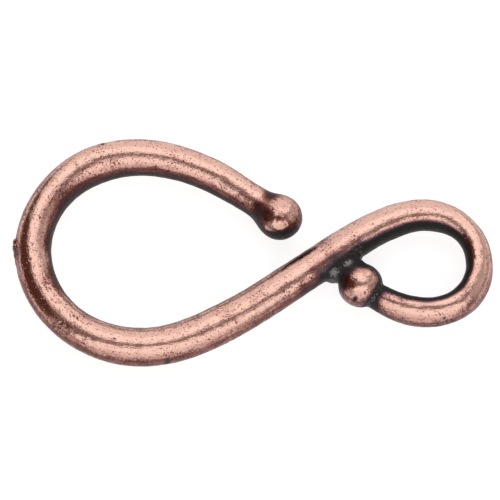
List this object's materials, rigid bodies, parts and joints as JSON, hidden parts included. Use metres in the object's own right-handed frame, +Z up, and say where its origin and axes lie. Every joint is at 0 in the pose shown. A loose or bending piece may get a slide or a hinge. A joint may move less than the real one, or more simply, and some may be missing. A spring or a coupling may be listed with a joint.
{
  "type": "hook and eye clasp",
  "caption": "One-piece jewellery clasp of round tapered wire: an open hook with a ball tip, a slanting shank, and a closed teardrop eye whose balled end is soldered to the shank.",
  "frame": {"origin": "middle of the bottom of the bounding box: the clasp lies flat, and the two balls and the lower bend of the hook are at its base", "axes": "+X runs along the length of the clasp from the hook to the eye, +Y across it towards the open side of the hook's tip, +Z up out of the plane in which the wire is bent"},
  "size_m": [0.0282, 0.0138, 0.0026],
  "materials": {
    "antique_copper": "antique copper plate: polished on the high surfaces, dark grey-brown patina in the inner walls, creases, solder and pits"
  },
  "bodies": {
    "root": {"hook_clasp": "antique_copper"}
  },
  "joints": []
}
